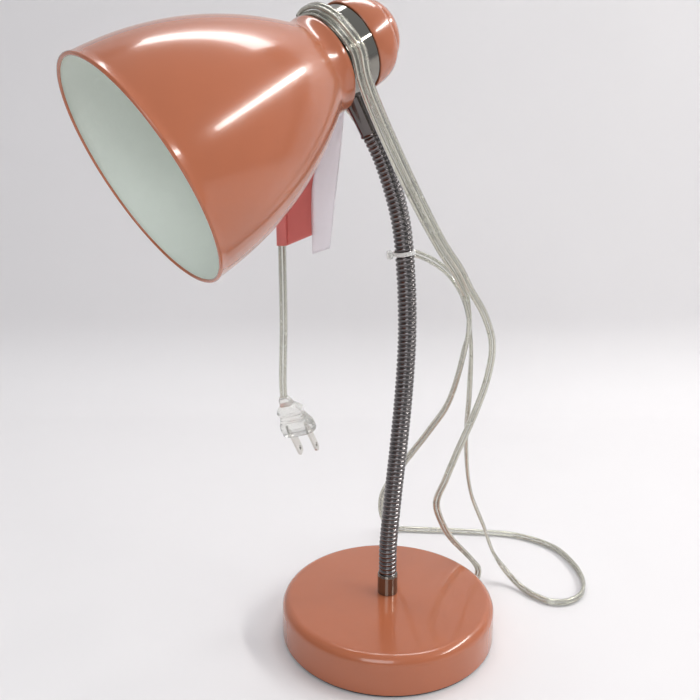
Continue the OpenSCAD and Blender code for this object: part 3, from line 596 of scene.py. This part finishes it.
def makeHousing():
    r, z0 = housing["radius"], housing["from"]
    z1 = z0 + housing["shown"] + cap["skirt"] - 1
    line = [(r - 0.9, z0), (r - 0.15, z0), (r, z0 + 0.2), (r, z0 + 0.5), (r, z1 - 0.6), (r, z1 - 0.3), (r - 0.2, z1),
            (r - 0.9, z1)]
    drum = lathe("housing_drum", line, mouthMatrix, ["chrome"], body="head", slot="chrome", steps=240)
    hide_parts("housing")


def makeCap():
    c0, c1 = housing["from"] + housing["shown"], housing["from"] + housing["shown"] + cap["skirt"]
    r0, rc, top = cap["radius"], cap["crease"], c1 + cap["shoulder"]
    line = [(housing["radius"] - 0.05, c0 + 0.2), (r0 - 0.4, c0), (r0 - 0.1, c0 + 0.15), (r0, c0 + 0.5), (r0, c1)]
    line += [(rc + 0.5 + (r0 - rc - 0.5) * math.cos(a) ** 0.75, c1 + cap["shoulder"] * math.sin(a) ** 1.25)
             for a in (math.pi / 2 * i / 18 for i in range(1, 18))]
    line += [(rc + 0.35, top), (rc, top + 0.3)]
    line += [(rc * math.cos(a) ** 1.1, top + 0.35 + cap["dome"] * math.sin(a) ** 1.1)
             for a in (math.pi / 2 * i / 22 for i in range(1, 22))] + [(0, top + 0.35 + cap["dome"])]
    rear = lathe("rear_cap_shell", line, mouthMatrix, ["enamel"], body="head", slot="enamel", steps=200)
    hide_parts("rear_cap")


def makeFerrule():
    f, far = collar["ferruleDiameter"] / 2, collar["ferrule"]
    foot = Matrix.Translation(((housing["radius"] + far) * mm, 0, 0))
    place = headMatrix @ foot @ Matrix.Rotation(math.radians(-90), 4, "Y")
    line = [(5.4, 0.4), (f - 0.2, 0), (f + 0.15, 0.1), (f + 0.4, 0.4), (f + 0.42, 0.9), (f + 0.3, 1.35), (f, 1.7),
            (f, 2.1), (f + 0.05, 4), (f + 0.5, far + 0.1), (f + 0.5, far + 0.4), (f + 0.7, far + 1.2)]
    # Its chrome colour holds painted shade.
    ferrule = lathe("head_ferrule", line, place, ["ferruleChromeWithPaintedShade"], body="head", slot="dark_chrome")
    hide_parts("upper_collar")


# Arm: one wound steel tube, with a round wire that winds along it and a groove between its turns.
arm = {"pitch": 3.05, "grooveRadius": 5.35, "perTurn": 12, "around": 56, "wireShare": 0.4, "lineStep": 0.2,
       "blendReach": 0.84, "inCollar": 1.5, "straight": 10, "inFerrule": 2, "fullness": 2.6, "roundness": 0.55}
armNodes = [["arm_root", "arm_link_1"], *[[f"arm_link_{i}"] for i in range(2, 8)], ["arm_tip"]]


def armLine():
    start = Vector((0, 0, base["pad"] + base["height"] + collar["height"] - arm["inCollar"]))
    bends = [Vector(joints[b]["pos_m"]) / mm for b in bendNames]
    end = headAt / mm + collarWay * (housing["radius"] + collar["ferrule"] - arm["inFerrule"])
    points = [start, Vector((0, 0, start.z + arm["straight"])), *bends, end]
    return smoothPath(points, [upWay] * len(points), arm["lineStep"])[0], bends


def windingRadius(phase):
    # The phase runs from 0 to 1 over one turn: the wire is round its middle, the groove at its ends.
    top, low = armDiameter / 2, arm["grooveRadius"]
    x = (phase - 0.5) / arm["wireShare"]
    if abs(x) >= 1:
        return low
    return low + (top - low) * (1 - abs(x) ** arm["fullness"]) ** arm["roundness"]


def makeArm():
    line, bends = armLine()
    dense, _, at = resample(line, [upWay] * len(line), arm["pitch"] / arm["perTurn"])
    y = Vector((0, 1, 0))
    rings = []
    for i, p in enumerate(dense):
        x = y.cross(wayAt(dense, i))
        ring = []
        for k in range(arm["around"]):
            a = 2 * math.pi * k / arm["around"]
            r = windingRadius((at[i] / arm["pitch"] - a / (2 * math.pi)) % 1.0)
            ring.append(p + x * (r * math.cos(a)) + y * (r * math.sin(a)))
        rings.append(ring)
    nearest = [min(range(len(dense)), key=lambda i: (dense[i] - b).length) for b in bends]
    cuts = [0] + [(a + b) // 2 for a, b in zip(nearest, nearest[1:])] + [len(dense) - 1]
    for i, bend in enumerate(bends):
        piece = newPiece(f"wound_arm_{i + 1}", *tube(rings[cuts[i]:cuts[i + 1] + 1]), ["blackNickel"], slot="arm_metal")
        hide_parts(*armNodes[i])
        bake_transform(piece)
    print(f"arm: {len(dense)} rings in {len(bends)} stretches")


makeBase()
makeShade()
makeHousing()
makeCap()
makeFerrule()
makeArm()
print("base, head and arm made")


# Lampholder's screw shell: a brass sheet rolled into an E26 thread, which fades out at both ends
socket = {"front": 84.5, "bore": 26.2, "wall": 0.6, "depth": 27, "pitch": 3.63, "threadDepth": 0.75, "around": 72,
          "perTurn": 14, "setBack": 0.8, "rim": 1.2, "fadeIn": 3.2, "fadeOut": 1.5, "neck": 0.35, "floor": (1.2, 5.5)}


def makeSocket():
    r, pitch, around = socket["bore"] / 2 + socket["wall"], socket["pitch"], socket["around"]
    bottom = socket["depth"] - socket["rim"]
    rings, z = [], 0.0
    while z < bottom:
        rings.append((z, r - socket["neck"] if rings else r))
        z += pitch / socket["perTurn"]
    points = []
    for z, radius in rings:
        fade = min(1.0, max(0.0, (z - socket["rim"]) / socket["fadeIn"])) * min(
            1.0, max(0.0, (bottom - z) / socket["fadeOut"]))
        for k in range(around):
            a = 2 * math.pi * k / around
            wave = 0.5 - 0.5 * math.cos(2 * math.pi * (z / pitch - a / (2 * math.pi)))
            q = radius - socket["threadDepth"] * fade * wave
            points.append(Vector((q * math.cos(a), q * math.sin(a), socket["front"] + socket["setBack"] + z)) * mm)
    z = socket["front"] + socket["setBack"] + socket["depth"] - socket["wall"]
    for radius in (r - socket["floor"][0], socket["floor"][1]):
        points += [Vector((radius * math.cos(a), radius * math.sin(a), z)) * mm
                   for a in (2 * math.pi * k / around for k in range(around))]
    shell = newPiece("threaded_shell", [mouthMatrix @ p for p in points], ringFaces(around, len(rings) + 2), ["brass"],
                     body="head", slot="brass")
    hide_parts("screw_shell")


# Plug: moulded in one with the lead, waisted where the fingers hold it, with two flat blades
plug = {
    "place": plugAt, "turns": (159.7, 16.0, 129.9), "length": 30, "squareness": 2.7, "around": 64, "steps": 60,
    "rimLevels": (29.2, 29.5, 29.75, 29.9), "gripFrom": 15, "gripTo": 23.5, "gripPitch": 1.7, "gripDepth": 0.35,
    "halfWidth": [(0, 3.4), (1.5, 4.3), (5, 5.0), (8.5, 8.2), (10.5, 9.5), (12.5, 9.1), (14.5, 8.9), (18, 10.2),
                  (21, 11.8), (24, 12.5), (28.6, 12.5), (29.6, 12.1), (30, 11.3)],
    "halfThickness": [(0, 2.0), (1.5, 2.75), (5, 3.2), (9, 5.0), (11, 5.7), (13, 5.25), (15, 5.1), (19, 5.8),
                      (23, 6.5), (28.6, 6.5), (29.6, 6.1), (30, 5.4)],
}
blade = {"gap": 12.7, "thickness": 1.5, "widths": (6.4, 7.8), "length": 17.5, "from": 22.2, "tip": (1.3, 2.2),
         "holeFromEnd": 4.5, "holeRadius": 1.6, "holeSides": 24}


def between(table, z):
    return float(np.interp(z, [a for a, _ in table], [b for _, b in table]))


def plugMatrix():
    a, b, c = (math.radians(v) for v in plug["turns"])
    turn = Matrix.Rotation(c, 4, "Z") @ Matrix.Rotation(b, 4, "Y") @ Matrix.Rotation(a, 4, "X")
    return Matrix.Translation(plug["place"] * mm) @ turn


def makePlug():
    place, points = plugMatrix(), []
    around, power, length = plug["around"], 2 / plug["squareness"], plug["length"]
    levels = sorted({*plug["rimLevels"], *[length * i / plug["steps"] for i in range(plug["steps"] + 1)]})
    for z in levels:
        w, t = between(plug["halfWidth"], z), between(plug["halfThickness"], z)
        grip = 0.0
        if plug["gripFrom"] < z < plug["gripTo"]:
            wave = math.sin(math.pi * (z - plug["gripFrom"]) / plug["gripPitch"])
            grip = plug["gripDepth"] * max(0.0, wave) ** 2
        for k in range(around):
            a = 2 * math.pi * k / around
            c, s = math.cos(a), math.sin(a)
            x = w * math.copysign(abs(c) ** power, c)
            y = (t - grip * (abs(s) > 0.5)) * math.copysign(abs(s) ** power, s)
            points.append(Vector((x, y, z)) * mm)
    faces = ringFaces(around, len(levels)) + endFaces(around, len(levels))
    body = newPiece("moulded_plug", [place @ p for p in points], faces, ["clearPlug"], body="head",
                    slot="clear_plastic")
    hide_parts("plug_body")
    return body


def rayReach(outline, centre, y, z):
    # How many times the way from the centre to (y, z) fits before it meets the outline.
    dy, dz = y, z - centre
    reach = []
    for (ay, az), (by, bz) in zip(outline, outline[1:] + outline[:1]):
        ey, ez = by - ay, bz - az
        det = dy * ez - dz * ey
        if abs(det) > 1e-9:
            u = (ay * ez - (az - centre) * ey) / det
            v = (ay * dz - (az - centre) * dy) / det
            if u > 0 and -1e-9 <= v <= 1 + 1e-9:
                reach.append(u)
    return min(reach)


def makeBlades():
    place = plugMatrix()
    sides, (tipIn, tipBack) = blade["holeSides"], blade["tip"]
    points, faces = [], []
    for sign, width in zip((-1, 1), blade["widths"]):
        # Outline in y and z with a chamfered tip, and a round hole near the end.
        h, z0, z1 = width / 2, blade["from"], plug["length"] + blade["length"]
        outline = [(-h, z0), (h, z0), (h, z1 - tipBack), (h - tipIn, z1), (-h + tipIn, z1), (-h, z1 - tipBack)]
        cz = z1 - blade["holeFromEnd"]
        hole = [(blade["holeRadius"] * math.cos(a), cz + blade["holeRadius"] * math.sin(a))
                for a in (2 * math.pi * k / sides for k in range(sides))]
        reaches = [rayReach(outline, cz, y, z) for y, z in hole]
        rim = [(y * u, cz + (z - cz) * u) for (y, z), u in zip(hole, reaches)]
        x0, half = sign * blade["gap"] / 2, blade["thickness"] / 2
        near = len(points)
        far = near + 2 * sides
        for x in (x0 - half, x0 + half):
            points += [Vector((x, y, z)) * mm for y, z in hole + rim]
        for k in range(sides):
            n = (k + 1) % sides
            faces.append((near + k, near + n, near + sides + n, near + sides + k)[::-1])
            faces.append((far + k, far + n, far + sides + n, far + sides + k))
            faces.append((near + k, near + n, far + n, far + k))
            faces.append((near + sides + k, far + sides + k, far + sides + n, near + sides + n))
    blades = newPiece("plug_blade_pair", [place @ p for p in points], faces, ["nickel"], body="head",
                      slot="blade_nickel", smooth=False)
    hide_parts("plug_blades")
    return blades


# Paper flag: a sleeve round the lead with a red panel, and a white panel folded in front of it. Each edge is a list
# of (height, place across) in mm; the panels lean to the right as they rise.
flag = {
    "at": (-51.5, 50), "turn": -34, "sleeve": 3.35, "sleeveSides": 24, "sleeveHeights": (268, 346), "thickness": 0.16,
    "rows": 40, "columns": 14, "step": 1.3, "top": 351, "redBottom": (268, 0.41), "whiteBottom": (262.6, 0.33),
    "reach": 7, "overlap": 0.1, "redWave": 0.6, "waveHeight": 14, "whiteBow": 0.8,
    "fold": [(262, 19.8), (290, 19.4), (303, 19.8), (312, 21.2), (320, 23.5), (332, 27.4), (343, 31.0), (352, 36.0)],
    "right": [(262, 31.2), (285, 34.0), (303, 36.0), (325, 38.5), (343, 40.2), (352, 41.0)],
}


def flagSheet(edges, heights, depth):
    # One panel as a thin closed sheet: edges gives left and right for a height; heights gives the lower edge's
    # height at the left and its rise per mm across.
    rows, columns, t = flag["rows"], flag["columns"], flag["thickness"] / 2
    front, back = [], []
    for i in range(rows + 1):
        for j in range(columns + 1):
            v, u = i / rows, j / columns
            z = heights[0] + (flag["top"] - heights[0]) * v
            left, right = edges(z)
            x = left + (right - left) * u
            z += heights[1] * (x - left) * (1 - v)
            y = depth(u, z)
            front.append((x, y - t, z))
            back.append((x, y + t, z))
    step, layer = columns + 1, len(front)
    cells = [(step * i + j, step * i + j + 1, step * (i + 1) + j + 1, step * (i + 1) + j)
             for i in range(rows) for j in range(columns)]
    faces = cells + [tuple(k + layer for k in f)[::-1] for f in cells]
    rim = list(range(columns + 1)) + [step * i + columns for i in range(1, rows + 1)]
    rim += [step * rows + j for j in range(columns - 1, -1, -1)] + [step * i for i in range(rows - 1, 0, -1)]
    faces += [(b, a, a + layer, b + layer) for a, b in zip(rim, rim[1:] + rim[:1])]
    return front + back, faces


def makeFlag():
    r, (low, high), sides = flag["sleeve"], flag["sleeveHeights"], flag["sleeveSides"]
    ring = [2 * math.pi * k / sides for k in range(sides)]
    points = [(q * math.cos(a), q * math.sin(a), z)
              for z in (low, high) for q in (r, r - flag["thickness"]) for a in ring]
    faces = []
    for k in range(sides):
        n = (k + 1) % sides
        # Outside and inside at the sleeve's foot, then at its top
        a, b, c, d = (k + sides * i for i in range(4))
        a1, b1, c1, d1 = (n + sides * i for i in range(4))
        faces += [(a, a1, c1, c), (b1, b, d, d1), (a1, a, b, b1), (c, c1, d1, d)]
    marks = [0] * len(faces)
    panels = [
        (lambda z: (r - flag["overlap"], between(flag["fold"], z) + flag["step"]), flag["redBottom"],
         lambda u, z: flag["redWave"] * math.sin(math.pi * u) * math.sin((z - low) / flag["waveHeight"])),
        (lambda z: (between(flag["fold"], z), between(flag["right"], z)), flag["whiteBottom"],
         lambda u, z: (-flag["step"] - flag["reach"] * u * (z - low) / (high - low)
                       - flag["whiteBow"] * math.sin(math.pi * u)))]
    for mark, (edges, heights, depth) in enumerate(panels):
        some, someFaces = flagSheet(edges, heights, depth)
        faces += [tuple(k + len(points) for k in f) for f in someFaces]
        marks += [mark] * len(someFaces)
        points += some
    turn = Matrix.Translation((*(v * mm for v in flag["at"]), 0)) @ Matrix.Rotation(math.radians(flag["turn"]), 4, "Z")
    paper = newPiece("folded_flag", [turn @ (Vector(p) * mm) for p in points], faces, ["paperRed", "paperWhite"],
                     body="head", slot="paper", faceMaterials=marks)
    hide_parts("paper_flag")
    return paper


# Cable tie: a toothed strap round arm and lead, with its lock and its cut end beside the arm. These two blocks are
# given by their ends along x, y and z, y from the arm's surface, and their chamfer.
strap = {
    "armGap": 0.2, "leadGap": 0.7, "leadNearer": 1.5, "thickness": 1.1, "width": 2.6, "teeth": 0.12,
    "blocks": [((-3, 1.6), (1.0, 4.6), (-2.5, 2.5), 0.35), ((-7.6, -2.6), (2.2, 3.3), (-1.2, 1.2), 0.2)],
}


def tieLoop(gap):
    # Outline round the arm's circle and the lead's, at a gap from both.
    r1, r2, d = armDiameter / 2, lead["width"] / 2 + strap["leadGap"], leadOff - strap["leadNearer"]
    a = math.degrees(math.acos((r1 - r2) / d))
    return arcPoints(0, 0, r1 + gap, a, 360 - a, 72) + arcPoints(d, 0, r2 + gap, -a, a, 30)


def blockRings(xs, ys, zs, c):
    for z, inset in ((zs[0], c), (zs[0] + c, 0), (zs[1] - c, 0), (zs[1], c)):
        (x0, x1), (y0, y1) = ((low + inset, high - inset) for low, high in (xs, ys))
        for x, y in ((x0 + c, y0), (x1 - c, y0), (x1, y0 + c), (x1, y1 - c), (x1 - c, y1), (x0 + c, y1),
                     (x0, y1 - c), (x0, y0 + c)):
            yield x, y, z


def makeTie():
    foot, along, across = tieFrame()
    centre = foot + along * tie["above"]
    x = across * toLead.x + Vector((0, 1, 0)) * toLead.y
    y = along.cross(x)
    inner, outer = tieLoop(strap["armGap"]), tieLoop(strap["armGap"] + strap["thickness"])
    w = strap["width"] / 2
    section = [(0, -w + 0.2), (0.15, -w), (0.85, -w), (1, -w + 0.2), (1, w - 0.2), (0.85, w), (0.15, w), (0, w - 0.2)]
    sides, places = len(section), []
    for i, ((ix, iy), (ox, oy)) in enumerate(zip(inner, outer)):
        cut = strap["teeth"] * (i % 2)
        for k, (u, h) in enumerate(section):
            v = u - (cut if 2 <= k <= 5 else 0)
            places.append((ix + (ox - ix) * v, iy + (oy - iy) * v, h))
    faces = [(sides * i + k, sides * i + (k + 1) % sides, sides * n + (k + 1) % sides, sides * n + k)
             for i, n in ((i, (i + 1) % len(inner)) for i in range(len(inner))) for k in range(sides)]
    for xs, ys, zs, chamfer in strap["blocks"]:
        start = len(places)
        places += blockRings(xs, tuple(armDiameter / 2 + v for v in ys), zs, chamfer)
        faces += ringFaces(8, 4, start) + endFaces(8, 4, start)
    points = [(centre + x * a + y * b + along * c) * mm for a, b, c in places]
    piece = newPiece("strap_tie", points, faces, ["clearTie"], body="link_6", slot="clear_plastic", smooth=False)
    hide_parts("cable_tie")


makeSocket()
onLead = [makePlug(), makeBlades(), makeFlag()]
makeTie()
for node, key in {
        "base_weight": "iron", "cord_bushing": "blackPlastic", "base_nipple": "zinc", "base_nuts": "zinc",
        "head_nipple": "zinc", "head_nut": "zinc", "shade_ring": "ivory", "lampholder_body": "porcelain",
        "centre_contact": "brass", "mount_plate": "zinc", "plate_screws": "zinc", "switch_body": "blackPlastic",
        "switch_nut": "chrome", "switch_knob": "blackPlastic"}.items():
    dress(node, key)
print("details made")

# Surroundings: a pale desk and wall, soft light, a bright window to the camera's right. The room is dim behind the
# camera and to its left, and bright on the window's side and overhead.
room = {"floor": (228, 226, 227), "wallFrom": 0.62, "size": 6.0, "bend": 0.12, "brightWay": (0.62, 0.05, 0.62),
        "span": (-0.75, 0.85), "sky": (0.12, 0.62), "skyColour": (0.95, 0.97, 1.0, 1)}
lightAim = Vector((-0.05, 0, 0.3))
lights = [
    {"name": "window", "at": (1.13, -0.91, 1.3), "along": (0.68, 1.45, 0.28), "size": (1.8, 0.13), "watts": 20,
     "colour": (1.0, 0.98, 0.95)},
    {"name": "frontFill", "at": (-1.25, -1.2, 1.05), "along": (0.7, -0.7, 0), "size": (1.0, 1.0), "watts": 11,
     "colour": (0.97, 0.98, 1.0)},
    {"name": "ceiling", "at": (0.35, 0.37, 1.95), "along": (0.79, -0.61, 0), "size": (1.3, 0.3), "watts": 12,
     "colour": (1.0, 1.0, 1.0)},
]


def makeSweep():
    view = Vector((photoView["towards"][0], photoView["towards"][1], 0)).normalized()
    rightWay = Vector((view.y, -view.x, 0))
    half, wall, radius = room["size"] / 2, room["wallFrom"], room["bend"]
    profile = [(-half, 0.0), (wall - radius, 0.0)]
    profile += [(wall - radius + radius * math.sin(a), radius - radius * math.cos(a))
                for a in (math.pi / 2 * i / 10 for i in range(1, 11))] + [(wall, half)]
    points = [view * d + rightWay * w + Vector((0, 0, z)) for d, z in profile for w in (-half, half)]
    faces = [(2 * i, 2 * i + 1, 2 * i + 3, 2 * i + 2) for i in range(len(profile) - 1)]
    mesh = bpy.data.meshes.new("studioSweep")
    mesh.from_pydata([tuple(p) for p in points], [], faces)
    mesh.materials.append(finish("sweepPaint", linear(room["floor"]), 0.75, tint=0.02, smudgeScale=3))
    mesh.polygons.foreach_set("use_smooth", np.ones(len(mesh.polygons), bool))
    sweep = bpy.data.objects.new("studioSweep", mesh)
    bpy.context.scene.collection.objects.link(sweep)


def makeWorld():
    world = bpy.data.worlds.new("softRoom")
    bpy.context.scene.world = world
    world.use_nodes = True
    tree = world.node_tree
    background = tree.nodes["Background"]
    way = put(tree, "ShaderNodeTexCoord").outputs["Generated"]
    along = put(tree, "ShaderNodeVectorMath", {0: way, 1: room["brightWay"]}, operation="DOT_PRODUCT").outputs["Value"]
    tree.links.new(spread(tree, along, *room["span"], *room["sky"]), background.inputs[1])
    background.inputs[0].default_value = room["skyColour"]


def makeLights():
    for spec in lights:
        data = bpy.data.lights.new(spec["name"], "AREA")
        data.shape = "RECTANGLE"
        data.size, data.size_y = spec["size"]
        data.energy, data.color = spec["watts"], spec["colour"]
        lamp = bpy.data.objects.new(spec["name"], data)
        back = (Vector(spec["at"]) - lightAim).normalized()
        across = back.cross(Vector(spec["along"])).normalized()
        turn = Matrix((across.cross(back), across, back)).transposed()
        lamp.matrix_world = Matrix.Translation(spec["at"]) @ turn.to_4x4()
        bpy.context.scene.collection.objects.link(lamp)


makeSweep()
makeWorld()
makeLights()
bpy.context.scene.view_settings.view_transform = "Standard"
